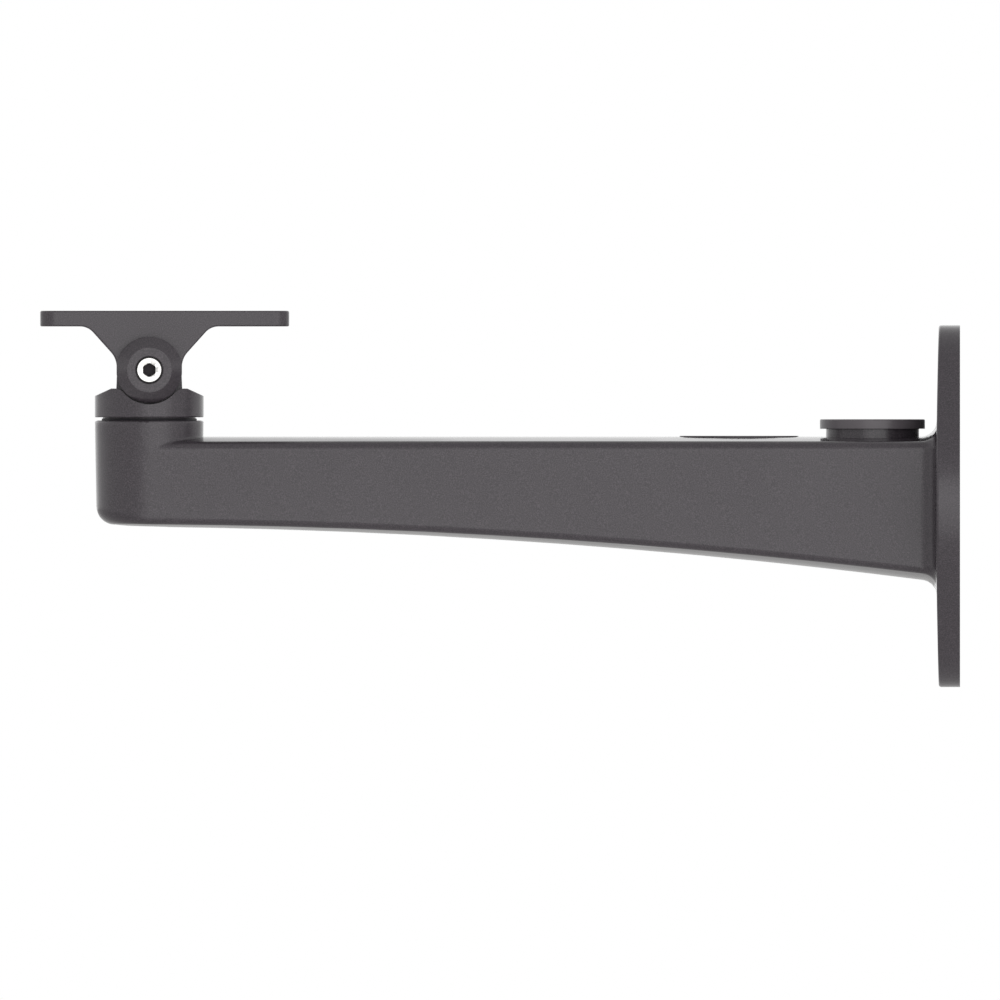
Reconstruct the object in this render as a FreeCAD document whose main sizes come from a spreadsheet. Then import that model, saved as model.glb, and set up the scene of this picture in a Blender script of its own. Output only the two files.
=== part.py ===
import FreeCAD, Part
import math
import os

import Sketcher

# Camera bracket: a cast arm that is screwed to a wall by its plate, with a
# swivelling base and a tilting camera plate at its free end.
# Frame: the origin is the middle of the wall plate's back face, +X points into
# the wall, the arm runs along -X, and +Z is up. All sizes are in millimetres.

doc = FreeCAD.newDocument("camera_bracket")

# Driving dimensions: name, value, what it is
DIMENSIONS = [
    ("plate_height", 148.4, "wall plate, top to bottom"),
    ("plate_width", 118, "wall plate, side to side"),
    ("plate_thick", 9.8, "wall plate at its middle"),
    ("plate_end_radius", 34.5, "round top and bottom of the plate"),
    ("plate_side_radius", 49, "round sides of the plate"),
    ("plate_front_radius", 2570, "bow of its front face from top to bottom"),
    ("plate_edge_round", 1.1, "rounding of the plate's front edge"),
    ("wall_hole", 9, "wall screw hole, diameter"),
    ("wall_hole_rise", 57, "upper and lower holes from the middle"),
    ("wall_hole_reach", 47.5, "side holes from the middle"),
    ("arm_reach", 332.4, "wall to swivel axis"),
    ("arm_half_width", 22.2, "half of the arm's width at the swivel axis"),
    ("arm_flare", 2, "each side's spread towards the wall, seen from above, degrees"),
    ("arm_ridge", 28.5, "height of the arm's ridge"),
    ("arm_draft", 1, "draft of the casting's sides, degrees"),
    ("arm_crown", 89, "radius of the crowned top at the swivel axis"),
    ("arm_crown_root", 237, "radius of the crowned top at the wall"),
    ("arm_belly", 175, "radius of the crowned underside"),
    ("arm_edge_round", 3.8, "rounding along the arm's top edges"),
    ("arm_low_round", 2.7, "rounding along its lower edges"),
    ("arm_tip_round", 7.6, "rounding under the free end"),
    ("root_round", 6.5, "blend from arm to plate"),
    ("bow_radius", 2745, "bow of the underside along the arm"),
    ("bow_crest_x", -361.5, "where the bow runs level"),
    ("bow_crest_z", -8.4, "height of the underside there"),
    ("bow_overrun", 1, "how far the bow's cut runs past the wall, degrees"),
    ("dome_start_x", -330, "where the underside turns into the end's dome"),
    ("boss_top", 35.1, "height of the swivel seat"),
    ("boss_edge_round", 0.9, "rounding of the seat's rim"),
    ("core_half_width", 18.3, "half of the hollow's width at its far end"),
    ("core_top", 24, "height of the hollow's roof"),
    ("core_wall", 4, "casting wall under the hollow"),
    ("core_length", 300, "depth of the hollow from the wall"),
    ("core_corner", 3, "rounding inside the hollow"),
    ("entry_x", -35.9, "cable entry's axis"),
    ("entry_neck_radius", 19.1, "entry neck, outside"),
    ("entry_neck_top", 31.7, "height of the neck's rim"),
    ("entry_bore_radius", 16, "entry hole for a 32 mm gland"),
    ("pad_x", -90.6, "oval pad's middle"),
    ("pad_length", 48.8, "oval pad, end to end"),
    ("pad_width", 24.4, "oval pad, across"),
    ("pad_end_radius", 8.5, "round ends of the oval pad"),
    ("pad_top", 28.8, "height of the oval pad"),
    ("cap_flange_radius", 21.5, "entry cap's flange"),
    ("cap_flange_thick", 3.9, "thickness of that flange"),
    ("cap_shank_radius", 15.8, "entry cap's shank"),
    ("cap_shank_length", 12, "length of that shank"),
    ("cap_wall", 3, "wall of the hollow shank"),
    ("cap_slot_width", 3, "slot for a coin or a blade"),
    ("cap_slot_length", 26, "length of that slot"),
    ("cap_slot_depth", 1.6, "depth of that slot"),
    ("cap_edge_round", 0.5, "rounding of the cap's rim"),
    ("seal_inner_radius", 16.3, "seal ring, inside"),
    ("seal_outer_radius", 18.3, "seal ring, outside"),
    ("seal_thick", 1, "seal ring, thickness"),
    ("ring_radius", 19.5, "swivel friction ring, outside"),
    ("ring_bore_radius", 7, "swivel friction ring, inside"),
    ("ring_thick", 0.8, "swivel friction ring, thickness"),
    ("base_radius", 22.35, "swivel base"),
    ("base_step_radius", 19.1, "raised face under the swivel base"),
    ("base_step", 0.5, "height of that raised face"),
    ("base_shoulder", 45.1, "height of the shoulders at the rim"),
    ("base_flat", 48.2, "height of the two flats"),
    ("base_flat_reach", 15.6, "outer end of a flat from the axis"),
    ("base_edge_round", 0.5, "rounding of the base's edges"),
    ("saddle_radius", 14, "saddle round the tilting knuckle"),
    ("saddle_lip_round", 4.5, "rounding where saddle meets flat"),
    ("tilt_axis", 55.8, "height of the tilt axis"),
    ("lug_half_width", 13.2, "swivel lug, half of its width"),
    ("lug_draft", 0.04, "how much wider each side gets per mm downwards"),
    ("lug_half_thick", 7, "swivel lug, half of its thickness"),
    ("swivel_screw_radius", 5, "swivel screw, M10"),
    ("swivel_screw_length", 40, "under its head"),
    ("swivel_head_radius", 8, "its head"),
    ("swivel_head_height", 10, "its head"),
    ("swivel_hex", 8, "its hexagon socket, across flats"),
    ("swivel_socket_depth", 5, "its hexagon socket"),
    ("swivel_tip", 46.5, "height of the screw's tip"),
    ("swivel_hole_room", 1, "depth of its thread past that tip"),
    ("swivel_sink_radius", 8.75, "counterbore under the free end"),
    ("swivel_spring_radius", 7.9, "its spring washer, outside"),
    ("swivel_spring_thick", 2.5, "its spring washer, thickness"),
    ("running_gap", 0.06, "radial clearance of a turning fit"),
    ("head_left", 44.75, "camera plate, free end from the tilt axis"),
    ("head_right", 57.4, "camera plate, wall end from the tilt axis"),
    ("head_half_width", 18, "camera plate, half of its width"),
    ("head_under", 17.85, "camera plate's underside above the tilt axis"),
    ("head_top", 24.3, "camera plate's top above the tilt axis"),
    ("head_corner", 6.2, "camera plate, corner radius"),
    ("head_edge_round", 0.7, "camera plate, edge rounding"),
    ("flank_reach", 25.2, "where the web's flank meets the plate"),
    ("flank_rise", 4.7, "where the web's flank meets the neck"),
    ("neck_half_width", 13.4, "fork's ears, half of their width"),
    ("ear_radius", 13.5, "round ends of the ears"),
    ("flank_plate_round", 7.2, "hollow between flank and plate"),
    ("flank_neck_round", 8.9, "hollow between flank and neck"),
    ("hub_face_radius", 9.2, "hub's flat face"),
    ("hub_root_reach", 20.6, "where a hub's cone starts, from the middle"),
    ("hub_half_width", 25, "half of the width over both hubs"),
    ("fork_half_gap", 7.8, "half of the gap between the ears"),
    ("fork_crotch", 14.8, "gap's roof above the tilt axis"),
    ("slot_width", 6.6, "camera screw slot"),
    ("slot_length", 10.6, "camera screw slot, end to end"),
    ("slot_spacing_x", 82, "camera slots, middle to middle along X"),
    ("slot_spacing_y", 18, "camera slots, middle to middle along Y"),
    ("slot_offset", 1.4, "camera slots, towards the free end from the middle"),
    ("tilt_screw_radius", 3, "tilt screw, M6"),
    ("tilt_screw_length", 40, "under its head"),
    ("tilt_head_radius", 5, "its head"),
    ("tilt_head_height", 6, "its head"),
    ("tilt_head_sink", 0.5, "its head below the hub's face"),
    ("tilt_head_bevel", 0.5, "chamfer of its head"),
    ("tilt_hex", 5, "its hexagon socket, across flats"),
    ("tilt_socket_depth", 3, "its hexagon socket"),
    ("tilt_sink_radius", 5.6, "counterbore in the hub"),
    ("tilt_sink_bevel", 0.25, "chamfer round that counterbore"),
    ("tilt_spring_radius", 4.95, "tilt spring washer, outside"),
    ("tilt_spring_thick", 1.6, "tilt spring washer, thickness"),
    ("tilt_nut_flats", 10, "tilt nut, across flats"),
    ("tilt_nut_height", 5, "tilt nut"),
    ("tilt_nut_play", 0.2, "room round the nut in its pocket"),
    ("tilt_screw_end", 0.2, "screw's end past the nut"),
    ("tilt_washer_radius", 11, "tilt friction washers, outside"),
]

ALIASES = {alias for alias, _, _ in DIMENSIONS}

# Formulas that more than one piece uses: the tilt screw's head and its nut are
# measured from the tilt joint's middle, towards the near and the far side
TILT_SEAT = "hub_half_width - tilt_head_sink - tilt_head_height"
NUT_FLOOR = f"tilt_screw_length - ({TILT_SEAT}) - tilt_nut_height - tilt_screw_end"

dims = doc.addObject("Spreadsheet::Sheet", "dims")
for row, (alias, value, note) in enumerate(DIMENSIONS, start=1):
    dims.set(f"A{row}", note)
    dims.set(f"B{row}", str(value))
    dims.setAlias(f"B{row}", alias)
doc.recompute()


def size(formula):
    """Value of a formula that uses the sheet's names."""
    value = dims.evalExpression(formula)
    return float(getattr(value, "Value", value))


def bind(thing, prop, formula):
    """Tie a property to a formula of the sheet's names."""
    thing.setExpression(prop, sheet_formula(formula))


def sheet_formula(formula):
    """The formula with each of the sheet's names led by the sheet's own."""
    words = []
    word = ""
    for letter in formula + " ":
        if letter.isalnum() or letter in "_.":
            word += letter
            continue
        words.append("dims." + word if word in ALIASES else word)
        words.append(letter)
        word = ""
    return "".join(words).strip()


# Sketch and feature helpers

def new_body(name):
    body = doc.addObject("PartDesign::Body", name)
    body.Label = name
    return body


def plane(body, role):
    return [item for item in body.Origin.OriginFeatures if item.Role == role][0]


def new_sketch(body, name, role, shift=None, turn=None, about=(1, 0, 0)):
    """A sketch on one of the body's own planes, shifted and turned by formulas."""
    sketch = body.newObject("Sketcher::SketchObject", name)
    sketch.AttachmentSupport = [(plane(body, role), "")]
    sketch.MapMode = "FlatFace"
    if turn:
        start = FreeCAD.Rotation(FreeCAD.Vector(*about), size(turn))
        sketch.AttachmentOffset = FreeCAD.Placement(FreeCAD.Vector(), start)
        bind(sketch, "AttachmentOffset.Rotation.Angle", turn)
    for axis, formula in (shift or {}).items():
        bind(sketch, f"AttachmentOffset.Base.{axis}", formula)
    doc.recompute()
    return sketch


def pin(sketch, edge, end, across, up):
    """Hold one point of an edge at two formulas."""
    for kind, formula in (("DistanceX", across), ("DistanceY", up)):
        index = sketch.addConstraint(
            Sketcher.Constraint(kind, -1, 1, edge, end, size(formula)))
        bind(sketch, f"Constraints[{index}]", formula)


def outline(sketch, corners):
    """A closed outline. Each corner is (across, up) or, where an arc leaves it,
    (across, up, radius, turn), with turn +1 for an arc that turns left."""
    points = [FreeCAD.Vector(size(c[0]), size(c[1]), 0) for c in corners]
    edges = []
    for number, corner in enumerate(corners):
        here = points[number]
        there = points[(number + 1) % len(points)]
        if len(corner) == 2:
            edges.append(sketch.addGeometry(Part.LineSegment(here, there), False))
            continue
        radius = size(corner[2])
        chord = there - here
        rise = math.sqrt(max(radius ** 2 - chord.Length ** 2 / 4, 0.0))
        side = FreeCAD.Vector(-chord.y, chord.x, 0).normalize() * corner[3]
        centre = (here + there) * 0.5 + side * rise
        first = math.atan2(here.y - centre.y, here.x - centre.x)
        last = math.atan2(there.y - centre.y, there.x - centre.x)
        if corner[3] < 0:
            first, last = last, first
        circle = Part.Circle(centre, FreeCAD.Vector(0, 0, 1), radius)
        edges.append(sketch.addGeometry(Part.ArcOfCircle(circle, first, last), False))
    for number, corner in enumerate(corners):
        start = 2 if len(corner) > 2 and corner[3] < 0 else 1
        before = corners[number - 1]
        end = 1 if len(before) > 2 and before[3] < 0 else 2
        sketch.addConstraint(Sketcher.Constraint(
            "Coincident", edges[number - 1], end, edges[number], start))
        pin(sketch, edges[number], start, corner[0], corner[1])
        if len(corner) > 2:
            chord = points[(number + 1) % len(points)] - points[number]
            hold_arc(sketch, edges[number], corner, chord)
    return sketch


def hold_arc(sketch, edge, corner, chord):
    """Fix an arc between two held points: a half circle by its middle, which
    lies level with its ends, and any other arc by its radius."""
    if near(chord.Length, 2 * size(corner[2])):
        level = abs(chord.x) > abs(chord.y)
        kind, formula = ("DistanceY", corner[1]) if level else ("DistanceX", corner[0])
        index = sketch.addConstraint(
            Sketcher.Constraint(kind, -1, 1, edge, 3, size(formula)))
    else:
        formula = corner[2]
        index = sketch.addConstraint(
            Sketcher.Constraint("Radius", edge, size(formula)))
    bind(sketch, f"Constraints[{index}]", formula)


def circle(sketch, across, up, radius):
    centre = FreeCAD.Vector(size(across), size(up), 0)
    edge = sketch.addGeometry(
        Part.Circle(centre, FreeCAD.Vector(0, 0, 1), size(radius)), False)
    pin(sketch, edge, 3, across, up)
    index = sketch.addConstraint(Sketcher.Constraint("Radius", edge, size(radius)))
    bind(sketch, f"Constraints[{index}]", radius)
    return sketch


def hexagon(sketch, across, up, flats):
    """A hexagon by its width across flats, with two corners level."""
    half = f"({flats}) / 2"
    reach = f"({flats}) / 2 / cos(30)"
    corners = []
    for sign_x, sign_y, part in ((1, 0, 1), (1, 1, 0.5), (-1, 1, 0.5),
                                 (-1, 0, 1), (-1, -1, 0.5), (1, -1, 0.5)):
        corners.append((f"{across} + {sign_x * part} * {reach}",
                        f"{up} + {sign_y} * {half}"))
    return outline(sketch, corners)


def feature(body, kind, name, sketch, length=None, **settings):
    item = body.newObject(f"PartDesign::{kind}", name)
    item.Profile = sketch
    for prop, value in settings.items():
        setattr(item, prop, value)
    if length:
        bind(item, "Length", length)
    doc.recompute()
    return item


def spin(body, kind, name, sketch, axis, angle="360", reverse=False):
    item = body.newObject(f"PartDesign::{kind}", name)
    item.Profile = sketch
    item.ReferenceAxis = (sketch, [axis])
    item.Reversed = reverse
    bind(item, "Angle", angle)
    doc.recompute()
    return item


def edge_names(shape, wanted):
    return [f"Edge{number}" for number, edge in enumerate(shape.Edges, start=1)
            if wanted(edge)]


def round_edges(body, name, wanted, radius, kind="Fillet"):
    base = body.Tip
    item = body.newObject(f"PartDesign::{kind}", name)
    item.Base = (base, edge_names(base.Shape, wanted))
    bind(item, "Radius" if kind == "Fillet" else "Size", radius)
    doc.recompute()
    return item


def middle(edge):
    return edge.valueAt((edge.FirstParameter + edge.LastParameter) / 2)


def near(value, target, slack=0.02):
    return abs(value - target) < slack


def is_round(edge, radius):
    return near(getattr(edge.Curve, "Radius", 0), size(radius))


# Wall plate: a rounded rhombus that gets thinner towards its top and bottom

def make_wall_plate():
    body = new_body("wall_plate")
    sketch = new_sketch(body, "plate_outline", "YZ_Plane")
    half_height = size("plate_height / 2")
    half_width = size("plate_width / 2")
    ends = size("plate_end_radius")
    sides = size("plate_side_radius")
    end_centre = half_height - ends
    side_centre = half_width - sides
    lean = math.atan2(side_centre, end_centre) + math.asin(
        (sides - ends) / math.hypot(end_centre, side_centre))
    axis = FreeCAD.Vector(0, 0, 1)
    arcs = []
    for turn in range(4):
        upright = turn % 2
        radius = ends if upright else sides
        reach = end_centre if upright else side_centre
        angle = turn * math.pi / 2
        centre = FreeCAD.Vector(reach * math.cos(angle), reach * math.sin(angle), 0)
        spread = math.pi / 2 - lean if upright else lean
        arcs.append(sketch.addGeometry(Part.ArcOfCircle(
            Part.Circle(centre, axis, radius), angle - spread, angle + spread), False))
    for number, arc in enumerate(arcs):
        following = arcs[(number + 1) % 4]
        here = sketch.Geometry[arc].EndPoint
        there = sketch.Geometry[following].StartPoint
        line = sketch.addGeometry(Part.LineSegment(here, there), False)
        sketch.addConstraint(Sketcher.Constraint("Tangent", arc, 2, line, 1))
        sketch.addConstraint(Sketcher.Constraint("Tangent", line, 2, following, 1))
    places = (("plate_width / 2 - plate_side_radius", "0", "plate_side_radius"),
              ("0", "plate_height / 2 - plate_end_radius", "plate_end_radius"),
              ("plate_side_radius - plate_width / 2", "0", "plate_side_radius"),
              ("0", "plate_end_radius - plate_height / 2", "plate_end_radius"))
    for arc, (across, up, radius) in zip(arcs, places):
        pin(sketch, arc, 3, across, up)
        index = sketch.addConstraint(Sketcher.Constraint("Radius", arc, size(radius)))
        bind(sketch, f"Constraints[{index}]", radius)
    feature(body, "Pad", "plate_slab", sketch, "plate_thick", Reversed=True)
    sag = "(plate_front_radius - sqrt(plate_front_radius^2 - plate_height^2))"
    front = outline(new_sketch(body, "front_profile", "XZ_Plane"), [
        (f"{sag} - plate_thick", "-plate_height", "plate_front_radius", -1),
        (f"{sag} - plate_thick", "plate_height"),
        ("-2 * plate_thick", "plate_height"),
        ("-2 * plate_thick", "-plate_height")])
    feature(body, "Pocket", "plate_front", front, "2 * plate_width",
            SideType="Symmetric")
    rim = size("-plate_thick / 2")
    round_edges(body, "plate_rim", lambda edge: edge.BoundBox.XMax < rim
                and edge.BoundBox.ZLength > size("plate_edge_round"), "plate_edge_round")
    return body


# Arm: drafted sides, crowned top, and an underside that bows along its length
# and ends in a dome under the free end

def make_arm():
    body = new_body("arm_blank")
    depth = "(plate_height / 3)"
    side = "(plate_width / 3)"
    length = "((arm_reach - plate_thick / 3) / cos(arm_flare))"
    top_half = "(arm_half_width + (boss_top - arm_ridge) * tan(arm_draft))"
    low_half = f"(arm_half_width - ({depth} + arm_ridge) * tan(arm_draft))"
    wedge = outline(new_sketch(body, "middle_outline", "XY_Plane", {"z": f"-{depth}"}), [
        ("-arm_reach", "0"),
        (f"{length} * cos(arm_flare) - arm_reach", f"-{length} * sin(arm_flare)"),
        (f"{length} * cos(arm_flare) - arm_reach", f"{length} * sin(arm_flare)")])
    feature(body, "Pad", "arm_middle", wedge, f"arm_ridge + {depth}")
    # Each flank follows its own side of the arm, and touches the boss's cone
    # along a line
    for name, sign, spread in (("near", "-", "-arm_flare"), ("far", "", "arm_flare")):
        frame = {"shift": {"z": "-arm_reach"}, "turn": spread, "about": (0, 1, 0)}
        bar = outline(new_sketch(body, name + "_flank_section", "YZ_Plane", **frame), [
            ("0", f"-{depth}"),
            (f"{sign}{low_half}", f"-{depth}"),
            (f"{sign}{top_half}", "boss_top"),
            ("0", "boss_top")])
        feature(body, "Pad", name + "_flank", bar, length)
    # The crowned top is part of a cone whose uppermost line runs level
    lean = "atan((arm_crown_root - arm_crown) / arm_reach)"
    tip = f"arm_crown / tan({lean})"
    crown = new_sketch(body, "crown_profile", "XZ_Plane",
                       {"x": f"-arm_reach - {tip}", "y": "arm_ridge"}, f"-{lean}", (0, 0, 1))
    near_end = f"({tip} - 2 * arm_half_width)"
    far_end = f"({tip} + arm_reach)"
    outline(crown, [
        (f"{near_end} * cos({lean})", f"{near_end} * sin({lean})"),
        (f"{far_end} * cos({lean})", f"{far_end} * sin({lean})"),
        (f"{far_end} * cos({lean}) - {depth} * sin({lean})",
         f"{far_end} * sin({lean}) + {depth} * cos({lean})"),
        (f"{near_end} * cos({lean}) - {depth} * sin({lean})",
         f"{near_end} * sin({lean}) + {depth} * cos({lean})")])
    spin(body, "Groove", "arm_crowned_top", crown, "H_Axis")
    floor = size("2 * arm_ridge - boss_top")

    def along_the_top(edge):
        box = edge.BoundBox
        return (box.XLength > size("arm_reach / 2") and box.ZMin > floor
                and abs(middle(edge).y) > size("arm_half_width"))
    round_edges(body, "arm_top_edges", along_the_top, "arm_edge_round")
    boss = outline(new_sketch(body, "boss_profile", "XZ_Plane"), [
        ("-arm_reach", f"-{depth}"),
        (f"-arm_reach - {low_half}", f"-{depth}"),
        (f"-arm_reach - {top_half}", "boss_top - boss_edge_round",
         "boss_edge_round", -1),
        (f"-arm_reach - {top_half} + boss_edge_round", "boss_top"),
        ("-arm_reach", "boss_top")])
    cone = body.newObject("PartDesign::Revolution", "boss")
    cone.Profile = boss
    cone.ReferenceAxis = (boss, ["Edge5"])
    doc.recompute()
    # Both cuts below turn about the bow's centre line or a spoke of it, so that
    # the bowed underside runs into the dome without a crease.
    centre = {"y": "bow_crest_z - bow_radius", "z": "bow_crest_x"}
    tilt = "asin((dome_start_x - bow_crest_x) / bow_radius)"
    sweep = "asin(-bow_crest_x / bow_radius) - " + tilt + " + bow_overrun * 1 deg"
    rise = f"(arm_belly - sqrt(arm_belly^2 - {side}^2))"
    bow = outline(new_sketch(body, "bow_profile", "YZ_Plane", centre, tilt), [
        (side, f"bow_radius + {rise}", "arm_belly", -1),
        (f"-{side}", f"bow_radius + {rise}"),
        (f"-{side}", "bow_radius - plate_height"),
        (side, "bow_radius - plate_height")])
    spin(body, "Groove", "arm_underside", bow, "H_Axis", sweep)
    dome = outline(new_sketch(body, "dome_profile", "YZ_Plane", centre, tilt), [
        ("0", "bow_radius", "arm_belly", 1),
        (side, f"bow_radius + {rise}"),
        (side, "bow_radius - plate_height"),
        ("0", "bow_radius - plate_height")])
    spin(body, "Groove", "end_dome", dome, "V_Axis", "180")
    return body


# Casting: plate and arm joined and blended, then bored and hollowed

def make_casting():
    plate = make_wall_plate()
    arm = make_arm()
    rounded = doc.addObject("Part::Fillet", "arm_rounded")
    rounded.Base = arm
    rounded.Edges = underside_radii(arm.Shape)
    doc.recompute()
    joined = doc.addObject("Part::MultiFuse", "plate_and_arm")
    joined.Shapes = [plate, rounded]
    doc.recompute()
    body = new_body("arm_casting")
    body.BaseFeature = joined
    doc.recompute()
    back = size("-plate_thick")
    slack = size("plate_edge_round")

    def at_the_root(edge):
        box = edge.BoundBox
        on_the_front = box.XMax < back + slack and box.XMin > back - slack
        return (on_the_front and abs(middle(edge).y) < size("plate_width / 3")
                and abs(middle(edge).z) < size("plate_height / 3"))
    round_edges(body, "root_blend", at_the_root, "root_round")
    neck = circle(new_sketch(body, "neck_circle", "XY_Plane", {"z": "entry_neck_top"}),
                  "entry_x", "0", "entry_neck_radius")
    feature(body, "Pad", "entry_neck", neck, "entry_neck_top - core_top + core_wall / 2",
            Reversed=True)
    pad = oval(new_sketch(body, "oval_outline", "XY_Plane", {"z": "pad_top"}),
               "pad_x", "pad_length", "pad_width", "pad_end_radius")
    feature(body, "Pad", "oval_pad", pad, "core_wall", Reversed=True)
    hollow = body.newObject("PartDesign::Boolean", "hollow")
    hollow.Type = "Cut"
    hollow.setObjects([make_core()])
    doc.recompute()
    bore = circle(new_sketch(body, "entry_circle", "XY_Plane", {"z": "entry_neck_top"}),
                  "entry_x", "0", "entry_bore_radius")
    feature(body, "Pocket", "entry_bore", bore, "entry_neck_top - core_top + core_wall")
    shaft = circle(new_sketch(body, "swivel_circle", "XY_Plane", {"z": "boss_top"}),
                   "-arm_reach", "0", "swivel_screw_radius + running_gap")
    feature(body, "Pocket", "swivel_bore", shaft, "plate_height / 2")
    floor = "swivel_tip - swivel_screw_length + swivel_spring_thick"
    sink = circle(new_sketch(body, "sink_circle", "XY_Plane", {"z": floor}),
                  "-arm_reach", "0", "swivel_sink_radius")
    feature(body, "Pocket", "swivel_sink", sink, "plate_height / 3")
    holes = new_sketch(body, "wall_hole_circles", "YZ_Plane")
    for across, up in (("wall_hole_reach", "0"), ("-wall_hole_reach", "0"),
                       ("0", "wall_hole_rise"), ("0", "-wall_hole_rise")):
        circle(holes, across, up, "wall_hole / 2")
    feature(body, "Pocket", "wall_holes", holes, "3 * plate_thick",
            SideType="Symmetric")
    return body


def underside_radii(shape):
    """Edge, first and last radius: the rounding grows towards the tip, where
    FreeCAD counts both sides' edges from the arm.
    """
    slim = size("arm_low_round")
    full = size("arm_tip_round")
    axis_x = -size("arm_reach")
    radii = []
    for number, edge in enumerate(shape.Edges, start=1):
        spot = middle(edge)
        level = edge.BoundBox.ZLength < size("arm_ridge")
        beside = abs(spot.y) > size("arm_half_width / 2")
        if not (level and beside and spot.z < 0 and spot.x < -size("plate_thick")):
            continue
        at_tip = spot.x < axis_x - slim
        radii.append((number, slim, full if at_tip else slim))
    return radii


def slot(sketch, across, up, length, width):
    """A slot along the sketch's first axis, by its middle and its full length."""
    reach = f"(({length}) - ({width})) / 2"
    half = f"({width}) / 2"
    return outline(sketch, [
        (f"{across} - {reach}", f"{up} - {half}"),
        (f"{across} + {reach}", f"{up} - {half}", half, 1),
        (f"{across} + {reach}", f"{up} + {half}"),
        (f"{across} - {reach}", f"{up} + {half}", half, 1)])


def oval(sketch, across, length, width, end):
    """An oval of four arcs that run into each other, by its end radius."""
    reach = f"({length} / 2 - {end})"
    side = f"(({reach}^2 + {width}^2 / 4 - {end}^2) / ({width} - 2 * {end}))"
    along = f"({reach} * (1 + {end} / ({side} - {end})))"
    rise = f"({end} * ({side} - {width} / 2) / ({side} - {end}))"
    return outline(sketch, [
        (f"{across} - {along}", f"-{rise}", side, 1),
        (f"{across} + {along}", f"-{rise}", end, 1),
        (f"{across} + {along}", rise, side, 1),
        (f"{across} - {along}", rise, end, 1)])


def make_core():
    """The core that leaves the hollow: it follows the bow and the arm's flare."""
    body = new_body("core")
    bow = "(bow_radius + core_wall)"
    middle_z = "(bow_crest_z - bow_radius)"
    deep = f"{middle_z} + sqrt({bow}^2 - (core_length + bow_crest_x)^2)"
    mouth = f"{middle_z} + sqrt({bow}^2 - bow_crest_x^2)"
    profile = outline(new_sketch(body, "core_profile", "XZ_Plane"), [
        ("-core_length", deep, bow, -1),
        ("0", mouth),
        ("0", "core_top"),
        ("-core_length", "core_top")])
    feature(body, "Pad", "core_block", profile, "plate_width", SideType="Symmetric")
    wide = "(core_half_width + core_length * tan(arm_flare))"
    for name, sign in (("near", "-"), ("far", "")):
        flank = outline(new_sketch(body, name + "_core_side", "XY_Plane"), [
            ("-core_length", f"{sign}core_half_width"),
            ("0", f"{sign}{wide}"),
            ("0", f"{sign}plate_width"),
            ("-core_length", f"{sign}plate_width")])
        feature(body, "Pocket", name + "_core_cut", flank, "2 * plate_height",
                SideType="Symmetric")
    long_enough = size("core_length / 4")
    round_edges(body, "core_corners",
                lambda edge: edge.BoundBox.XLength > long_enough, "core_corner")
    return body


# Cable entry: the cap that closes it, and the seal under its flange

def make_entry():
    cap = new_body("entry_cap")
    rim = "entry_neck_top"
    face = "entry_neck_top + cap_flange_thick"
    bed = "entry_neck_top + seal_thick"
    foot = "entry_neck_top - cap_shank_length"
    profile = outline(new_sketch(cap, "cap_profile", "XZ_Plane", {"x": "entry_x"}), [
        ("0", face),
        ("0", bed),
        ("cap_shank_radius - cap_wall", bed),
        ("cap_shank_radius - cap_wall", foot),
        ("cap_shank_radius", foot),
        ("cap_shank_radius", rim),
        ("seal_inner_radius", rim),
        ("seal_inner_radius", bed),
        ("seal_outer_radius", bed),
        ("seal_outer_radius", rim),
        ("cap_flange_radius", rim),
        ("cap_flange_radius", face)])
    spin(cap, "Revolution", "cap_turning", profile, "V_Axis")
    cut = new_sketch(cap, "cap_slot_outline", "XY_Plane", {"z": face})
    slot(cut, "entry_x", "0", "cap_slot_length", "cap_slot_width")
    feature(cap, "Pocket", "cap_slot", cut, "cap_slot_depth")
    round_edges(cap, "cap_rim", lambda edge: near(edge.BoundBox.ZMin, size(face))
                and is_round(edge, "cap_flange_radius"), "cap_edge_round")
    make_ring("entry_seal", "XY_Plane", "entry_x", "0", rim,
              "seal_outer_radius", "seal_inner_radius", "seal_thick")


def make_ring(name, role, across, up, level, outer, inner, thick, split=False):
    """A flat ring, with a narrow slit where it is a spring washer."""
    body = new_body(name)
    sketch = new_sketch(body, name + "_circles", role, {"z": level})
    circle(sketch, across, up, outer)
    circle(sketch, across, up, inner)
    feature(body, "Pad", name + "_disc", sketch, thick)
    if split:
        gap = new_sketch(body, name + "_slit", role, {"z": level})
        width = f"({thick}) / 3"
        outline(gap, [
            (f"{across}", f"{up} - {width}"),
            (f"{across} + 2 * ({outer})", f"{up} - {width}"),
            (f"{across} + 2 * ({outer})", f"{up} + {width}"),
            (f"{across}", f"{up} + {width}")])
        feature(body, "Pocket", name + "_gap", gap, thick, Reversed=True)
    return body


def make_cap_screw(name, role, up, seat, prefix, head_side):
    """A socket screw. Its head stands on the seat, on the given side of it."""
    body = new_body(name)
    back = head_side < 0
    across = "-arm_reach"
    radius = prefix + "_head_radius"
    height = prefix + "_head_height"
    head = new_sketch(body, name + "_head_circle", role, {"z": seat})
    circle(head, across, up, radius)
    feature(body, "Pad", name + "_head", head, height, Reversed=back)
    shank = new_sketch(body, name + "_shank_circle", role, {"z": seat})
    circle(shank, across, up, prefix + "_screw_radius")
    feature(body, "Pad", name + "_shank", shank, prefix + "_screw_length",
            Reversed=not back)
    crown = f"{seat} + {height}" if not back else f"{seat} - {height}"
    top = new_sketch(body, name + "_socket_outline", role, {"z": crown})
    hexagon(top, across, up, prefix + "_hex")
    feature(body, "Pocket", name + "_socket", top, prefix + "_socket_depth",
            Reversed=back)
    level = size(crown)

    def head_rim(edge):
        spot = middle(edge)
        along = spot.z if role == "XY_Plane" else -spot.y
        return near(along, level) and is_round(edge, radius)
    round_edges(body, name + "_bevel", head_rim, "tilt_head_bevel", "Chamfer")
    return body


# Swivel: friction ring, base with its lug, and the screw from below

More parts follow.
